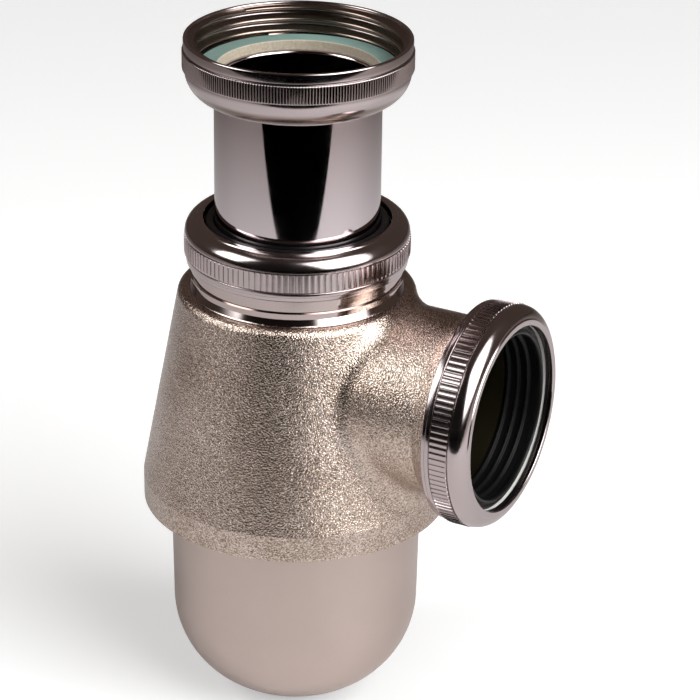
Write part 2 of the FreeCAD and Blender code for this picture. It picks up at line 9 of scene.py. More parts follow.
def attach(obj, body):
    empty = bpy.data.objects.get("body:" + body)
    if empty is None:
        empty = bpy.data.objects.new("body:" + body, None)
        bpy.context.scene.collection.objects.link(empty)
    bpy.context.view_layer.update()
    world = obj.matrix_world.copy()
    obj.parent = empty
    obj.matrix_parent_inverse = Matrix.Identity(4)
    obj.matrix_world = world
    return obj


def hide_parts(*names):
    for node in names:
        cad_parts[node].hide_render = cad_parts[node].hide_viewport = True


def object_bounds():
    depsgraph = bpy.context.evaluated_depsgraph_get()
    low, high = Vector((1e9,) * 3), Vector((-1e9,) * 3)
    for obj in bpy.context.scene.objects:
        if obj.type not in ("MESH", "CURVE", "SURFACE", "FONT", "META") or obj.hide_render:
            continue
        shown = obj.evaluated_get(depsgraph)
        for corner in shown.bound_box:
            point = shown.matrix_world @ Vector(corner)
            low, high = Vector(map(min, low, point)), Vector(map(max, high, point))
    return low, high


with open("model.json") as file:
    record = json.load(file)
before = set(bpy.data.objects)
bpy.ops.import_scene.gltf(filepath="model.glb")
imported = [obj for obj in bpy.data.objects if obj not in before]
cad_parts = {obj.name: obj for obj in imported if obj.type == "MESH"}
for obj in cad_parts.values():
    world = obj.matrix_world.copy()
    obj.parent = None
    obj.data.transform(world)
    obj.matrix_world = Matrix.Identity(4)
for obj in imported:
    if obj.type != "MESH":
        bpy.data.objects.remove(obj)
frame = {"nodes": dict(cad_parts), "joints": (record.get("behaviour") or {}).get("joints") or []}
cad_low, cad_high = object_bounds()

# A chromed bottle trap for a washbasin, seen a little from above. +Z runs up the inlet
# tube and +X out along the outlet branch. Pieces are drawn in millimetres and scaled by
# MM when they are meshed. The camera, the set and the materials are in Blender's metres.

MM = 0.001
TURN = 2 * math.pi

# places that the frame gives: the joints of the two compression nuts lie on the faces
# of the nuts, and the bottle's joint lies on its rim
pivots = {joint["name"]: joint.get("pos_m") for joint in frame["joints"]}
SLIP_NUT_TOP = pivots["slip_nut_turn"][2] / MM
OUTLET_FACE = pivots["outlet_nut_turn"][0] / MM
OUTLET_AXIS = pivots["outlet_nut_turn"][2] / MM
BOTTLE_TOP = pivots["bottle_turn"][2] / MM
BOTTLE_BOTTOM = cad_low.z / MM
RIM_HEIGHT = cad_high.z / MM

# pipe threads: G 1 1/4 in the nuts and G 1 3/4 on the bottle, with mean radii
PITCH = 2.309
FLANK = math.tan(math.radians(27.5))
THREAD_MEAN = 20.216
BOTTLE_THREAD_MEAN = 26.134
BOTTLE_THREAD_PLAY = 0.12

# all three nuts: radii of the knurled band and of the narrow grooves beside it
KNURL_RADIUS = 21.95
GROOVE_RADIUS = 21.35

# inlet union nut, measured down from its rim
INLET_NUT_HEIGHT = 11.35
INLET_NECK = 16.35
INLET_CAVITY, INLET_FLOOR = 19.8, -9.15
INLET_CREST, INLET_ROOT = 19.476, 20.95
INLET_TEETH = 240
INLET_FLATS = 0.36
INLET_KNURL_DEPTH = 0.15

# slip nut and outlet nut, measured back from the face
NUT_HEIGHT = 8.9
NUT_HOLE = 18.2
NUT_SEAT = -1.6
NUT_CREST, NUT_ROOT = 19.7, 20.955
NUT_MOUTH, NUT_MOUTH_END = 21.05, -7.2
SLIP_TEETH = 120
SLIP_FLATS = 0.78
KNURL_DEPTH = 0.2
SCALLOP_DEPTH = 0.09

# inlet tube and washer
TUBE_BORE, TUBE_RADIUS, TUBE_END = 15.0, 16.0, -74.0
FLANGE_RADIUS, FLANGE_BOTTOM, FLANGE_TOP = 19.3, -3.1, -2.0
WASHER_BORE = 15.6

# rubber seals, measured back from the face of their nut
SEAL_BORE = 16.05
SEAL_SPIGOT = 17.6
SEAL_BEAD = 17.9
SEAL_FLANGE, SEAL_FLANGE_BACK, SEAL_FLANGE_FRONT = 19.2, -4.3, -2.4
SLEEVE_BORE = 16.65
LIPS, FIRST_LIP, LIP_SPACING = 3, -4.6, 2.1

# bottle: radii of its wall, of the curves between wall and bottom, and of its thread,
# and the heights between which the thread runs
BOTTLE_THICKNESS = 2.0
BOTTLE_FLOOR = BOTTLE_BOTTOM + BOTTLE_THICKNESS
BOTTLE_WALL, BOTTLE_CURVE = 24.7, 20.0
BOTTLE_BORE, BOTTLE_BORE_CURVE = 23.2, 18.2
BOTTLE_CREST, BOTTLE_ROOT = 26.75, 25.25
BOTTLE_THREAD_LOW = BOTTLE_TOP - 8.4
BOTTLE_THREAD_HIGH = BOTTLE_TOP - 0.4

# steps round a plain piece and round a seal
ROUND_STEPS = 256
SEAL_STEPS = 192

# camera, as the photograph was taken; angles are in degrees
VIEW = 28.0
VIEW_ELEVATION = 24.9
VIEW_ROLL = 0.8
VIEW_DISTANCE = 0.567
VIEW_SIDESTEP = 0.01046
VIEW_HEIGHT = -0.0588
LENS = 148.2
SENSOR = 36.0

# the floor's sheets: half their width, the gap between them, where the painted shade
# in front of the trap begins, and fades between two distances from the origin
FLOOR_HALF = 1.6
SHEET_GAP = 0.0005
SHADE_SHEET_NEAR = 0.235
FLOOR_FADE = (0.28, 0.37)
HORIZON_FADE = (0.35, 1.1)

# glow of the pale floor near the trap, and of the background that it fades into
FLOOR_GLOW = 0.38
BACKGROUND = 0.93

# softboxes: their distance from the point they are aimed at, and how far from the
# middle, as a share of the width, their glow has gone and is still full
BOX_DISTANCE = 0.8
BOX_AIM = Vector((0, 0, -0.06))
BOX_EDGE = (0.5, 0.22)

# the room: azimuth of its darkest part, and the cosines of the angles from there
# between which it darkens
DARKEST = VIEW - 12.0
ROOM_FADE = (-0.3, 0.75)

# plain colours
WHITE = (1.0, 1.0, 1.0)
BLACK = (0.0, 0.0, 0.0)
PALE_FLOOR = (0.9, 0.9, 0.9)
# colours of the floor that the metal reflects: painted shade, greyer than the floor the camera
# sees, and brown far from the trap
SHADED_FLOOR = (0.66, 0.65, 0.655)
FAR_FLOOR_SHADE = (0.26, 0.235, 0.225)
ROOM = (0.085, 0.062, 0.052)
DARK_ROOM = (0.010, 0.008, 0.007)

# borders between finishes, in metres; each pair is where a blend begins and ends
# the first three bound the thread in the inlet nut's mouth, where the chrome takes painted shade
THREAD_INNER = (0.0192, 0.0193)
THREAD_OUTER = (0.0207, 0.0211)
INLET_NUT_UNDER = (-0.0066, -0.0062)
SOCKET_RADIUS = (0.01700, 0.01705)
SOCKET_START = (0.0250, 0.0252)
NECK_BOTTOM = (-0.0446, -0.0442)
WASHER_EDGE = (0.01580, 0.01595)

# spans of a share that falls or rises, and the middle of a noise's values
RISING = (0.0, 1.0)
FALLING = (1.0, 0.0)
NOISE_MIDDLE = (0.3, 0.7)

# colour sockets of Blender's Mix node
MIX_FIRST, MIX_SECOND, MIX_RESULT = 6, 7, 2


# ---------------------------------------------------------------- profiles


def soften(corners, steps=4):
    """Round the corners of a closed profile.

    A corner is (across, up) or (across, up, radius). The result is a list of
    (across, up) points, with steps + 1 of them round each rounded corner.
    """
    points = []
    count = len(corners)
    for i, corner in enumerate(corners):
        spot = Vector(corner[:2])
        radius = corner[2] if len(corner) > 2 else 0
        if not radius:
            points.append((spot.x, spot.y))
            continue
        before = (Vector(corners[i - 1][:2]) - spot).normalized()
        after = (Vector(corners[(i + 1) % count][:2]) - spot).normalized()
        half = before.angle(after) / 2
        centre = spot + (before + after).normalized() * radius / math.sin(half)
        start = spot + before * radius / math.tan(half) - centre
        end = spot + after * radius / math.tan(half) - centre
        sweep = start.angle_signed(end)
        for step in range(steps + 1):
            offset = Matrix.Rotation(-sweep * step / steps, 2) @ start
            points.append((centre.x + offset.x, centre.y + offset.y))
    return points


def arc_points(centre, radius, first, last, steps):
    """Points along an arc about a centre, angles in degrees from the across axis."""
    points = []
    for step in range(steps + 1):
        angle = math.radians(first + (last - first) * step / steps)
        across = centre[0] + radius * math.cos(angle)
        up = centre[1] + radius * math.sin(angle)
        points.append((across, up))
    return points


def groove(low, high):
    """Bottom of a narrow groove round a nut."""
    return [(GROOVE_RADIUS, low, 0.05), (GROOVE_RADIUS, high, 0.05)]


def even_angles(count):
    """Angles of equal steps round a turn."""
    return [TURN * i / count for i in range(count)]


def knurl_angles(teeth, flats, hollow=False):
    """Angles of a knurl, where the flats take a share of the turn.

    Each tooth has the two ends of a flat, with its middle between them where the flats
    are hollow, and then the two edges of what parts it from the next flat.
    """
    pitch = TURN / teeth
    between = pitch * (1 - flats)
    angles = []
    for tooth in range(teeth):
        middle = pitch * tooth
        start = middle - pitch * flats / 2
        end = middle + pitch * flats / 2
        angles += [start, middle, end] if hollow else [start, end]
        angles += [end + between / 4, end + between * 3 / 4]
    return angles


def spin(name, profile, angles, shape=None, place=Matrix.Identity(4), sharp=32):
    """Turn a closed profile of (across, up) millimetres into a solid.

    shape(index, across, up, step, angle) may move a point as it turns, and gives its
    radius and height. The last ring lies on the first one and is merged with it.
    """
    count = len(profile)
    vertices = []
    for step, angle in enumerate([*angles, angles[0] + TURN]):
        cosine, sine = math.cos(angle), math.sin(angle)
        for index, (across, up) in enumerate(profile):
            radius, height = across, up
            if shape:
                radius, height = shape(index, across, up, step % len(angles), angle)
            vertices.append((radius * cosine * MM, radius * sine * MM, height * MM))
    faces = []
    for step in range(len(angles)):
        here, there = step * count, (step + 1) * count
        for index in range(count):
            after = (index + 1) % count
            faces.append((here + index, here + after, there + after, there + index))
    mesh = bpy.data.meshes.new(name)
    mesh.from_pydata(vertices, [], faces)
    mesh.transform(place)
    tidy_mesh(mesh, sharp)
    piece = bpy.data.objects.new(name, mesh)
    bpy.context.scene.collection.objects.link(piece)
    keep_flats_flat(piece)
    return piece


def keep_flats_flat(piece):
    """Let the large faces set the normals, so that rounded edges don't bend them."""
    weighted = piece.modifiers.new("flats", "WEIGHTED_NORMAL")
    weighted.mode = "FACE_AREA"
    weighted.weight = 100
    weighted.keep_sharp = True


def tidy_mesh(mesh, sharp):
    """Merge points that coincide, point the faces outwards and shade the mesh."""
    work = bmesh.new()
    work.from_mesh(mesh)
    bmesh.ops.remove_doubles(work, verts=work.verts, dist=1e-7)
    bmesh.ops.dissolve_degenerate(work, edges=work.edges, dist=1e-8)
    bmesh.ops.recalc_face_normals(work, faces=work.faces)
    work.to_mesh(mesh)
    work.free()
    mesh.shade_smooth()
    mesh.set_sharp_from_angle(angle=math.radians(sharp))


class Thread:
    """Rows of a helical thread surface between two heights.

    A nut's root is larger than its crest. The rows climb one pitch in a turn, so that
    each keeps its place on the thread's form, and stop at the ends. phase is the height
    of a groove's middle where the turn begins.
    """

    ROWS = 12

    def __init__(self, low, high, crest, root, mean, phase, play=0.0):
        self.low, self.high = low, high
        self.crest, self.root = crest, root
        self.mean, self.phase, self.play = mean, phase, play

    def rows(self):
        """(across, up) of each row where the turn begins, from the bottom up.

        The last one starts above the end, so that the first ring has a point there too.
        """
        step = PITCH / self.ROWS
        count = math.ceil((self.high - self.low) / step) + self.ROWS
        return [(self.mean, self.high - i * step) for i in range(count, -2, -1)]

    def point(self, up, angle):
        """Radius and height of a row once it has turned by an angle."""
        height = max(self.low, min(self.high, up + PITCH * angle / TURN))
        offset = (height - self.phase) / PITCH - angle / TURN
        away = abs(offset - round(offset)) * PITCH
        outwards = -1 if self.root > self.crest else 1
        radius = self.mean + outwards * (away - PITCH / 4 - self.play) / FLANK
        middle = (self.crest + self.root) / 2
        reach = abs(self.root - self.crest) / 2
        return middle + reach * rounded_step((radius - middle) / reach), height


def rounded_step(share, soft=0.18):
    """Clamp to -1..1 with rounded corners."""
    size = abs(share)
    if size >= 1 + soft:
        size = 1.0
    elif size > 1 - soft:
        size -= (size - 1 + soft) ** 2 / (4 * soft)
    return math.copysign(size, share)


# ---------------------------------------------------------------- pieces


def nut_piece(name, outside, thread, inside, cuts, angles, place, sharp):
    """Turn a nut from its outside, its thread and the profile behind the thread.

    cuts are the knurl's depths at the angles of one tooth.
    """
    profile = soften(outside)
    knurled = {i for i, spot in enumerate(profile) if abs(spot[0] - KNURL_RADIUS) < 1e-6}
    rows = thread.rows()
    threaded = range(len(profile), len(profile) + len(rows))
    profile += [*reversed(rows), *inside]

    def shape(index, across, up, step, angle):
        if index in knurled:
            return across - cuts[step % len(cuts)], up
        if index in threaded:
            return thread.point(up, angle)
        return across, up

    return spin(name, profile, angles, shape, place, sharp)


def inlet_nut_piece():
    """Union nut with a fine straight knurl and the pipe thread in its mouth."""
    collar = [
        (INLET_NECK, -INLET_NUT_HEIGHT, 0.25),
        (17.15, -INLET_NUT_HEIGHT, 0.3),
        (17.3, -10.9, 0.15),
    ]
    shoulder = arc_points((16.05, -6.15), 5.45, 0, -72, 10)
    band = [
        (21.5, -5.95, 0.05),
        (21.75, -5.85, 0.05),
        (KNURL_RADIUS, -5.7),
        (KNURL_RADIUS, -2.5),
        (21.75, -2.35, 0.05),
    ]
    rim = [
        (21.7, -1.85, 0.1),
        (21.7, 0.0, 0.3),
        (INLET_ROOT, 0.0, 0.3),
        (INLET_ROOT, -0.5),
    ]
    outside = [*collar, *reversed(shoulder), *band, *groove(-2.3, -1.95), *rim]
    thread = Thread(
        low=-5.95, high=-0.6, crest=INLET_CREST, root=INLET_ROOT, mean=THREAD_MEAN, phase=-2.9
    )
    inside = [
        (INLET_CAVITY, thread.low - 0.1),
        (INLET_CAVITY, INLET_FLOOR),
        (INLET_NECK, INLET_FLOOR),
    ]
    cuts = (0, 0, INLET_KNURL_DEPTH, INLET_KNURL_DEPTH)
    angles = knurl_angles(INLET_TEETH, INLET_FLATS)
    place = Matrix.Translation((0, 0, RIM_HEIGHT * MM))
    return nut_piece("inlet_nut_detail", outside, thread, inside, cuts, angles, place, sharp=62)


def slip_nut_piece(name, place):
    """Compression nut with a rounded shoulder and a band of shallow hollow flats."""
    collar = [
        (NUT_MOUTH, -NUT_HEIGHT, 0.1),
        (21.5, -NUT_HEIGHT, 0.2),
        (21.5, -8.15, 0.1),
        (21.6, -8.05, 0.1),
        (21.6, -7.3, 0.12),
    ]
    band = [
        (21.7, -7.0, 0.05),
        (KNURL_RADIUS, -6.9),
        (KNURL_RADIUS, -3.55),
        (21.7, -3.45, 0.05),
    ]
    shoulder = [(21.8, -3.1, 0.05), *arc_points((18.95, -3.05), 2.85, 0, 78, 14)]
    hole = [
        (19.35, -0.02, 0.2),
        (NUT_HOLE, 0.0, 0.22),
        (NUT_HOLE, NUT_SEAT),
        (NUT_CREST, NUT_SEAT),
    ]
    outside = [*collar, *groove(-7.2, -7.05), *band, *groove(-3.4, -3.2), *shoulder, *hole]
    thread = Thread(
        low=NUT_MOUTH_END, high=-3.0, crest=NUT_CREST, root=NUT_ROOT, mean=THREAD_MEAN, phase=-6.95
    )
    inside = [(NUT_MOUTH, NUT_MOUTH_END)]
    cuts = (KNURL_DEPTH, KNURL_DEPTH + SCALLOP_DEPTH, KNURL_DEPTH, 0, 0)
    angles = knurl_angles(SLIP_TEETH, SLIP_FLATS, hollow=True)
    return nut_piece(name, outside, thread, inside, cuts, angles, place, sharp=28)


def inlet_tube_piece():
    """Chromed tube and its turned-out flange."""
    corners = [
        (TUBE_BORE, TUBE_END, 0.2),
        (TUBE_RADIUS, TUBE_END, 0.2),
        (TUBE_RADIUS, FLANGE_BOTTOM, 0.1),
        (FLANGE_RADIUS, FLANGE_BOTTOM, 0.2),
        (FLANGE_RADIUS, FLANGE_TOP, 0.2),
        (TUBE_BORE, FLANGE_TOP, 0.6),
    ]
    return spin("inlet_tube_detail", soften(corners), even_angles(ROUND_STEPS))


def washer_piece():
    """Flat fibre washer that lies on the tube's flange, up to the height 0."""
    corners = [
        (WASHER_BORE, FLANGE_TOP, 0.1),
        (FLANGE_RADIUS, FLANGE_TOP, 0.15),
        (FLANGE_RADIUS, 0.0, 0.15),
        (WASHER_BORE, 0.0, 0.25),
    ]
    return spin("inlet_washer_detail", soften(corners), even_angles(ROUND_STEPS))


def slip_seal_piece(place):
    """Rubber seal with the rounded bead that shows round the tube."""
    corners = [
        (SEAL_BORE, -9.5, 0.2),
        (SEAL_SPIGOT, -9.5, 0.3),
        (SEAL_SPIGOT, SEAL_FLANGE_BACK),
        (SEAL_FLANGE, SEAL_FLANGE_BACK, 0.2),
        (SEAL_FLANGE, SEAL_FLANGE_FRONT, 0.2),
        (SEAL_BEAD, SEAL_FLANGE_FRONT),
        (SEAL_BEAD, -0.5, 0.8),
        (SEAL_BORE, -0.5, 0.7),
    ]
    return spin("slip_seal_detail", soften(corners, 6), even_angles(SEAL_STEPS), place=place)


def outlet_seal_piece(place):
    """Ribbed sleeve of black rubber with a rolled rim and three thin lips."""
    corners = [
        (SLEEVE_BORE, -9.6, 0.1),
        (SEAL_SPIGOT, -9.6, 0.2),
        (SEAL_SPIGOT, SEAL_FLANGE_BACK),
        (SEAL_FLANGE, SEAL_FLANGE_BACK, 0.2),
        (SEAL_FLANGE, SEAL_FLANGE_FRONT, 0.2),
        (SEAL_BEAD, SEAL_FLANGE_FRONT),
        (SEAL_BEAD, -1.9, 0.3),
        (17.0, -1.95, 0.4),
        (16.75, -1.45, 0.3),
        (16.2, -1.45, 0.27),
        (16.1, -2.1, 0.2),
        (SLEEVE_BORE, -3.0, 0.2),
    ]
    for lip in range(LIPS):
        middle = FIRST_LIP - LIP_SPACING * lip
        corners += [
            (SLEEVE_BORE, middle + 0.4, 0.1),
            (SEAL_BORE, middle + 0.1, 0.05),
            (SEAL_BORE, middle - 0.1, 0.05),
            (SLEEVE_BORE, middle - 0.4, 0.1),
        ]
    return spin("outlet_seal_detail", soften(corners, 3), even_angles(SEAL_STEPS), place=place)


def bottle_piece():
    """Smooth bottle with a large round bottom and its thread hidden in the skirt."""
    middle = (BOTTLE_WALL - BOTTLE_CURVE, BOTTLE_BOTTOM + BOTTLE_CURVE)
    profile = [(0.0, BOTTLE_BOTTOM), *arc_points(middle, BOTTLE_CURVE, -90, 0, 40)]
    profile += [(25.05, BOTTLE_THREAD_LOW - 0.4), (BOTTLE_ROOT, BOTTLE_THREAD_LOW - 0.1)]
    thread = Thread(
        low=BOTTLE_THREAD_LOW,
        high=BOTTLE_THREAD_HIGH,
        crest=BOTTLE_CREST,
        root=BOTTLE_ROOT,
        mean=BOTTLE_THREAD_MEAN,
        phase=BOTTLE_THREAD_LOW + 0.2,
        play=BOTTLE_THREAD_PLAY,
    )
    rows = thread.rows()
    threaded = range(len(profile), len(profile) + len(rows))
    profile += [*rows, (26.3, BOTTLE_TOP), (BOTTLE_BORE, BOTTLE_TOP)]
    middle = (BOTTLE_BORE - BOTTLE_BORE_CURVE, BOTTLE_FLOOR + BOTTLE_BORE_CURVE)
    profile += [*arc_points(middle, BOTTLE_BORE_CURVE, 0, -90, 24), (0.0, BOTTLE_FLOOR)]

    def shape(index, across, up, step, angle):
        if index in threaded:
            return thread.point(up, angle)
        return across, up

    return spin("bottle_cup_detail", profile, even_angles(ROUND_STEPS), shape)


# ---------------------------------------------------------------- materials


class Tree:
    """A node tree, with short calls for the nodes used here.

    A value handed to a call is a number, a colour tuple or another node's output.
    """

    def __init__(self, tree):
        self.tree = tree

    def node(self, kind, **settings):
        made = self.tree.nodes.new(kind)
        for key, value in settings.items():
            setattr(made, key, value)
        return made

    def give(self, value, target):
        """Link an output to an input, or set the input to a number, vector or colour."""
        if isinstance(value, bpy.types.NodeSocket):
            self.tree.links.new(value, target)
        elif isinstance(value, tuple):
            target.default_value = (*value, 1.0)
        else:
            target.default_value = value

    def feed(self, node, **values):
        """Set or link inputs by name; a _ stands for a space in an input's name."""
        for key, value in values.items():
            self.give(value, node.inputs[key.replace("_", " ")])

    def maths(self, kind, *values):
        made = self.node("ShaderNodeMath", operation=kind)
        for value, target in zip(values, made.inputs):
            self.give(value, target)
        return made.outputs[0]

    def plus(self, one, two):
        return self.maths("ADD", one, two)

    def minus(self, one, two):
        return self.maths("SUBTRACT", one, two)

    def times(self, one, two):
        return self.maths("MULTIPLY", one, two)

    def from_axis(self, one, two):
        """Distance from an axis, from the two coordinates across it."""
        squares = self.plus(self.times(one, one), self.times(two, two))
        return self.maths("SQRT", squares)

    def ramp(self, source, span, result=RISING, kind="LINEAR"):
        """Map a value from one span to another, clamped at its ends."""
        made = self.node("ShaderNodeMapRange", interpolation_type=kind)
        self.feed(made, Value=source, From_Min=span[0], From_Max=span[1])
        self.feed(made, To_Min=result[0], To_Max=result[1])
        return made.outputs["Result"]

    def blend(self, share, one, two):
        """Mix two colours."""
        made = self.node("ShaderNodeMix", data_type="RGBA")
        self.give(share, made.inputs["Factor"])
        self.give(one, made.inputs[MIX_FIRST])
        self.give(two, made.inputs[MIX_SECOND])
        return made.outputs[MIX_RESULT]


class Paint(Tree):
    """A material's node tree, with its textures and its shader."""

    def __init__(self, name):
        self.material = bpy.data.materials.new(name)
        self.material.use_nodes = True
        super().__init__(self.material.node_tree)
        self.shader = self.tree.nodes["Principled BSDF"]

    def wear(self, **values):
        """Set or link the shader's inputs."""
        self.feed(self.shader, **values)

    def coordinates(self):
        return self.node("ShaderNodeTexCoord").outputs["Object"]

    def axis(self, letter):
        split = self.node("ShaderNodeSeparateXYZ")
        self.feed(split, Vector=self.coordinates())
        return split.outputs[letter]

    def noise(self, scale, detail=2.0, rough=0.5):
        made = self.node("ShaderNodeTexNoise")
        self.feed(made, Vector=self.coordinates(), Scale=scale, Detail=detail, Roughness=rough)
        return made.outputs["Fac"]

    def cells(self, scale):
        """Distance to the nearest of many scattered points, 0 at a point."""
        made = self.node("ShaderNodeTexVoronoi")
        self.feed(made, Vector=self.coordinates(), Scale=scale)
        return made.outputs["Distance"]

    def bump(self, height, depth, strength=1.0):
        """Bend the surface's normals as if a height of 1 stood depth metres proud."""
        made = self.node("ShaderNodeBump")
        self.feed(made, Height=height, Distance=depth, Strength=strength)
        self.wear(Normal=made.outputs["Normal"])


def chrome(name, tint, smooth, dull):
    """Chrome plate: a mirror with faint smears on slightly uneven ground.

    smooth and dull are the ends of its roughness. On the inlet nut's thread, inside its
    mouth, the colour is darker brown: painted shade of the recess, with some real brown
    patches, and the plate there is duller.
    """
    # darker brown for the thread in the inlet nut's mouth: painted shade of the recess, with some
    # real brown patches
    thread_shade_and_patches, thin_dulling = (0.27, 0.212, 0.182), 0.1
    paint = Paint(name)
    distance = paint.from_axis(paint.axis("X"), paint.axis("Y"))
    inner = paint.ramp(distance, THREAD_INNER)
    outer = paint.ramp(distance, THREAD_OUTER, FALLING)
    above = paint.ramp(paint.axis("Z"), INLET_NUT_UNDER)
    # the thread in the inlet nut's mouth, which takes the painted shade and is duller
    thin = paint.times(paint.times(inner, outer), above)
    smears = paint.ramp(paint.noise(180.0, detail=4.0, rough=0.6), (0.35, 0.7), (smooth, dull))
    paint.wear(
        Metallic=1.0,
        Base_Color=paint.blend(thin, tint, thread_shade_and_patches),
        Roughness=paint.plus(smears, paint.times(thin, thin_dulling)),
    )
    paint.bump(paint.noise(60.0, detail=0.0), depth=0.00002, strength=0.3)
    return paint.material


def outlet_socket(paint):
    """1 inside the pipe socket behind the outlet seal, 0 elsewhere."""
    above = paint.minus(paint.axis("Z"), OUTLET_AXIS * MM)
    near = paint.ramp(paint.from_axis(paint.axis("Y"), above), SOCKET_RADIUS, FALLING)
    return paint.times(near, paint.ramp(paint.axis("X"), SOCKET_START))


def cast_nickel():
    """Sand-cast brass, nickel plated: bright grains and dark pits, smooth where machined.

    The pipe socket behind the outlet seal is bare, tarnished brass.
    """
    dark_grain, bright_grain = (0.39, 0.297, 0.230), (0.78, 0.665, 0.590)
    pit, machined = (0.12, 0.085, 0.065), (0.50, 0.425, 0.405)
    dark_brass, pale_brass = (0.020, 0.017, 0.010), (0.055, 0.046, 0.026)
    plain_rough, grain_rough, socket_rough = 0.10, 0.12, 0.4
    paint = Paint("cast_nickel")
    grains = paint.cells(2900.0)
    fine = paint.noise(4400.0, rough=0.6)
    lumps = paint.noise(1100.0, rough=0.6)
    specks = paint.noise(3100.0, detail=1.0)
    drift = paint.noise(70.0)

    socket = outlet_socket(paint)
    below_neck = paint.ramp(paint.axis("Z"), NECK_BOTTOM, FALLING)
    cast = paint.times(below_neck, paint.minus(1.0, socket))
    height = paint.plus(paint.times(grains, 0.8), fine)
    height = paint.plus(height, paint.times(lumps, 0.15))
    paint.bump(paint.times(height, cast), depth=0.00009)

    rough = paint.times(paint.ramp(fine, (0.35, 0.65), (0.0, grain_rough)), cast)
    rough = paint.plus(rough, plain_rough)
    rough = paint.plus(rough, paint.times(socket, socket_rough))

    tone = paint.ramp(paint.plus(specks, paint.times(drift, 0.35)), (0.53, 0.80))
    clear = paint.ramp(paint.plus(fine, lumps), (0.66, 0.86))
    grained = paint.blend(clear, pit, paint.blend(tone, dark_grain, bright_grain))
    plated = paint.blend(cast, machined, grained)
    bare = paint.blend(drift, dark_brass, pale_brass)
    paint.wear(Metallic=1.0, Roughness=rough, Base_Color=paint.blend(socket, plated, bare))
    return paint.material


def satin_nickel():
    """Smooth blasted nickel on the bottle, with a very fine grain."""
    darker, paler = (0.555, 0.462, 0.418), (0.600, 0.502, 0.455)
    paint = Paint("satin_nickel")
    drift = paint.noise(60.0, detail=3.0)
    paint.wear(
        Metallic=1.0,
        Base_Color=paint.blend(paint.ramp(drift, NOISE_MIDDLE), darker, paler),
        Roughness=paint.ramp(drift, NOISE_MIDDLE, (0.34, 0.42)),
    )
    paint.bump(paint.noise(3000.0, rough=0.6), depth=0.00009, strength=0.7)
    return paint.material


def black_rubber():
    """Moulded rubber, nearly black and a little glossy."""
    paint = Paint("black_rubber")
    grain = paint.noise(1500.0)
    paint.wear(
        Base_Color=(0.004, 0.004, 0.0045),
        Specular_IOR_Level=0.22,
        Roughness=paint.ramp(grain, NOISE_MIDDLE, (0.3, 0.4)),
    )
    paint.bump(grain, depth=0.00003, strength=0.4)
    return paint.material


def plastic(name, colour):
    """Plain moulded plastic with a faint mottle."""
    paler = tuple(channel * 1.06 for channel in colour)
    paint = Paint(name)
    mottle = paint.noise(120.0, detail=3.0)
    paint.wear(
        Base_Color=paint.blend(mottle, colour, paler),
        Roughness=paint.ramp(mottle, NOISE_MIDDLE, (0.4, 0.5)),
    )
    return paint.material


def fibre():
    """Green-faced vulcanised fibre, beige and a little ragged at its cut inner edge."""
    dark_green, pale_green = (0.165, 0.265, 0.235), (0.215, 0.325, 0.290)
    dark_fibre, pale_fibre = (0.26, 0.215, 0.155), (0.62, 0.555, 0.44)
    paint = Paint("fibre")
    fuzz = paint.noise(1800.0, detail=4.0, rough=0.7)
    distance = paint.from_axis(paint.axis("X"), paint.axis("Y"))
    ragged = paint.plus(distance, paint.times(fuzz, 0.0003))
    edge = paint.ramp(ragged, WASHER_EDGE, FALLING)
    face = paint.blend(paint.noise(400.0, detail=3.0), dark_green, pale_green)
    cut = paint.blend(fuzz, dark_fibre, pale_fibre)
    paint.wear(Base_Color=paint.blend(edge, face, cut), Roughness=0.7)
    paint.bump(fuzz, depth=0.0003, strength=0.5)
    return paint.material


def matt(paint, colour):
    """Paint for the set, without any shine."""
    paint.wear(Base_Color=colour, Roughness=1.0, Specular_IOR_Level=0.0)
    return paint.material


def faded(name, span, near, far, glow):
    """Floor paint whose colour and white glow change between two distances.

    glow is its strength near the origin and far from it. A glow of nothing stays linked
    all the same, because without it Blender samples the lights otherwise and the pale
    floor comes out a little brighter.
    """
    paint = Paint(name)
    away = paint.node("ShaderNodeVectorMath", operation="LENGTH")
    paint.feed(away, Vector=paint.coordinates())
    share = paint.ramp(away.outputs["Value"], span)
    paint.wear(Emission_Color=WHITE, Emission_Strength=paint.ramp(share, RISING, glow))
    return matt(paint, paint.blend(share, near, far))


# ---------------------------------------------------------------- scene


def towards(azimuth, elevation=0.0):
    """Direction from the trap to a viewer at an azimuth and elevation in degrees."""
    around, rise = math.radians(azimuth), math.radians(elevation)
    level = math.cos(rise)
    return Vector((math.sin(around) * level, -math.cos(around) * level, math.sin(rise)))


def add_camera():
    """Camera on the photograph's line of sight, rolled and side-stepped as it was."""
    back = towards(VIEW, VIEW_ELEVATION)
    right = Vector((0, 0, 1)).cross(back).normalized()
    upright = Matrix((right, back.cross(right), back)).transposed()
    turn = Matrix.Rotation(math.radians(VIEW_ROLL), 3, back) @ upright
    spot = Vector((0, 0, VIEW_HEIGHT)) + back * VIEW_DISTANCE + turn.col[0] * VIEW_SIDESTEP
    data = bpy.data.cameras.new("camera")
    data.lens = LENS
    data.sensor_width = SENSOR
    data.clip_start = 0.01
    camera = bpy.data.objects.new("camera", data)
    camera.matrix_world = Matrix.Translation(spot) @ turn.to_4x4()
    bpy.context.scene.collection.objects.link(camera)
    bpy.context.scene.camera = camera


def flat_sheet(middle, material):
    """A level square of the set, turned to the camera and named after its material."""
    front = towards(VIEW) * FLOOR_HALF
    side = Vector((0, 0, 1)).cross(front)
    corners = [
        middle - front - side,
        middle + front - side,
        middle + front + side,
        middle - front + side,
    ]
    mesh = bpy.data.meshes.new(material.name)
    mesh.from_pydata(corners, [], [(0, 1, 2, 3)])
    mesh.materials.append(material)
    sheet = bpy.data.objects.new(material.name, mesh)
    sheet.visible_shadow = False
    bpy.context.scene.collection.objects.link(sheet)
    return sheet


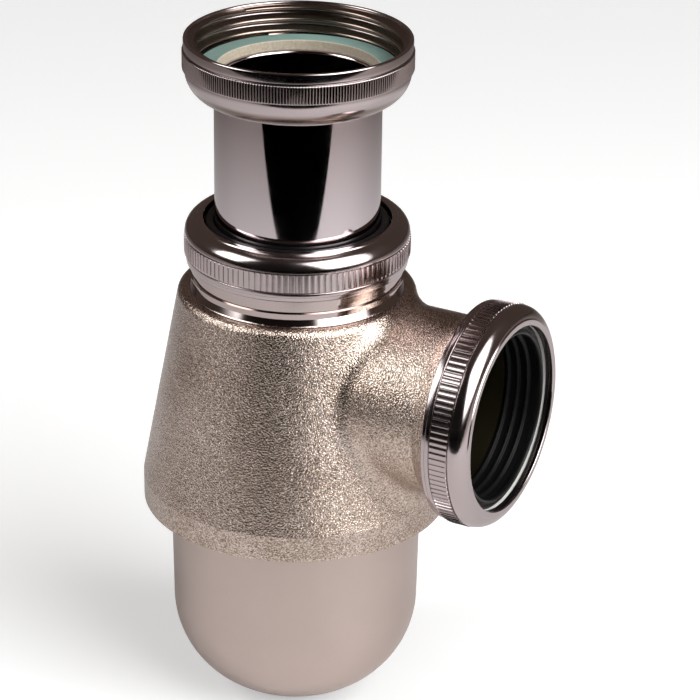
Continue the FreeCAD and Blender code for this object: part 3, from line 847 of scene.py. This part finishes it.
def add_floor():
    """Plain pale floor under the bottle.

    The camera sees the lowest sheet, which fades into the background. The metal
    reflects a greyer one just above it, painted shade that turns brown far from the
    trap, and a black sheet of painted shade, seen only in the metal, that lies on that
    one in front of the trap.
    """
    pale = faded("floor", HORIZON_FADE, PALE_FLOOR, BLACK, (FLOOR_GLOW, BACKGROUND))
    # the floor that the metal reflects is painted shade: greyer than the one the camera sees, and
    # browner farther from the trap
    grey = faded("floor_mirrored", FLOOR_FADE, SHADED_FLOOR, FAR_FLOOR_SHADE, (0.0, 0.0))
    ground = Vector((0, 0, cad_low.z))
    gap = Vector((0, 0, SHEET_GAP))
    shown = flat_sheet(ground - gap, pale)
    shown.visible_diffuse = False
    shown.visible_glossy = False
    mirrored = flat_sheet(ground, grey)
    mirrored.visible_camera = False
    middle = ground + gap + towards(VIEW) * (SHADE_SHEET_NEAR + FLOOR_HALF)
    # a black sheet seen only in the metal's reflections: painted shade in front of the trap
    shade_sheet = flat_sheet(middle, matt(Paint("shade_sheet"), BLACK))
    shade_sheet.visible_camera = False
    shade_sheet.visible_diffuse = False


def soft_edges(data):
    """Make a light's glow fall off towards the edges of its rectangle."""
    data.use_nodes = True
    lamp = Tree(data.node_tree)
    split = lamp.node("ShaderNodeSeparateXYZ")
    lamp.feed(split, Vector=lamp.node("ShaderNodeNewGeometry").outputs["Parametric"])
    shares = []
    for letter in ("X", "Y"):
        from_middle = lamp.maths("ABSOLUTE", lamp.minus(split.outputs[letter], 0.5))
        shares.append(lamp.ramp(from_middle, BOX_EDGE, kind="SMOOTHSTEP"))
    lamp.feed(lamp.tree.nodes["Emission"], Strength=lamp.times(*shares))


def add_softbox(name, azimuth, elevation, width, height, glow):
    """A soft rectangular light aimed at the trap; glow is its radiance."""
    back = towards(azimuth, elevation)
    data = bpy.data.lights.new(name, "AREA")
    data.shape = "RECTANGLE"
    data.size, data.size_y = width, height
    data.energy = glow * math.pi * width * height
    soft_edges(data)
    light = bpy.data.objects.new(name, data)
    turn = back.to_track_quat("Z", "Y").to_matrix().to_4x4()
    light.matrix_world = Matrix.Translation(BOX_AIM + back * BOX_DISTANCE) @ turn
    bpy.context.scene.collection.objects.link(light)


def add_world():
    """A dim warm room, darkest in front, that looks plain and pale behind the set."""
    world = bpy.data.worlds.new("studio")
    world.use_nodes = True
    room = Tree(world.node_tree)
    room.tree.nodes.clear()
    facing = room.node("ShaderNodeVectorMath", operation="DOT_PRODUCT")
    room.give(room.node("ShaderNodeTexCoord").outputs["Generated"], facing.inputs[0])
    room.give(towards(DARKEST), facing.inputs[1])
    share = room.ramp(facing.outputs["Value"], ROOM_FADE)
    dim = room.node("ShaderNodeBackground")
    room.feed(dim, Color=room.blend(share, ROOM, DARK_ROOM))
    pale = room.node("ShaderNodeBackground")
    room.feed(pale, Color=(BACKGROUND, BACKGROUND, BACKGROUND))
    seen = room.node("ShaderNodeLightPath").outputs["Is Camera Ray"]
    either = room.node("ShaderNodeMixShader")
    for value, target in zip((seen, dim.outputs[0], pale.outputs[0]), either.inputs):
        room.give(value, target)
    room.feed(room.node("ShaderNodeOutputWorld"), Surface=either.outputs[0])
    bpy.context.scene.world = world


def fit(piece, body, node, material):
    """Put a detailed piece in its CAD node's place."""
    piece.data.materials.append(material)
    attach(piece, body)
    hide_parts(node)


def repaint(node, material):
    """Give a CAD node that is shown as it is a new material."""
    mesh = frame["nodes"][node].data
    mesh.materials.clear()
    mesh.materials.append(material)


def build():
    add_camera()
    mirror = chrome("chrome", tint=(0.61, 0.545, 0.56), smooth=0.03, dull=0.06)
    polished = chrome("nut_chrome", tint=(0.50, 0.435, 0.432), smooth=0.11, dull=0.17)
    rubber = black_rubber()
    ring = plastic("friction_ring", colour=(0.72, 0.72, 0.69))
    upward = Matrix.Translation((0, 0, SLIP_NUT_TOP * MM))
    outward = Matrix.Translation((OUTLET_FACE * MM, 0, OUTLET_AXIS * MM))
    outward = outward @ Matrix.Rotation(math.radians(90), 4, "Y")
    fit(inlet_nut_piece(), "inlet_nut", "inlet_nut", polished)
    fit(inlet_tube_piece(), "inlet_tail", "inlet_tube", mirror)
    fit(washer_piece(), "inlet_tail", "inlet_washer", fibre())
    fit(slip_nut_piece("slip_nut_detail", upward), "slip_nut", "slip_nut", polished)
    fit(slip_nut_piece("outlet_nut_detail", outward), "outlet_nut", "outlet_nut", polished)
    fit(slip_seal_piece(upward), "slip_seal", "slip_seal", rubber)
    fit(outlet_seal_piece(outward), "trap_body", "outlet_seal", rubber)
    fit(bottle_piece(), "bottle_cup", "bottle_cup", satin_nickel())
    repaint("trap_body", cast_nickel())
    repaint("cup_gasket", rubber)
    repaint("dip_tube", plastic("dip_plastic", colour=(0.78, 0.78, 0.76)))
    repaint("slip_ring", ring)
    repaint("outlet_ring", ring)
    add_floor()
    add_world()
    add_softbox("left_box", azimuth=-47, elevation=36, width=0.54, height=0.66, glow=5.6)
    add_softbox("right_box", azimuth=80, elevation=36, width=0.96, height=1.12, glow=7.3)
    bpy.context.scene.view_settings.view_transform = "Standard"


build()
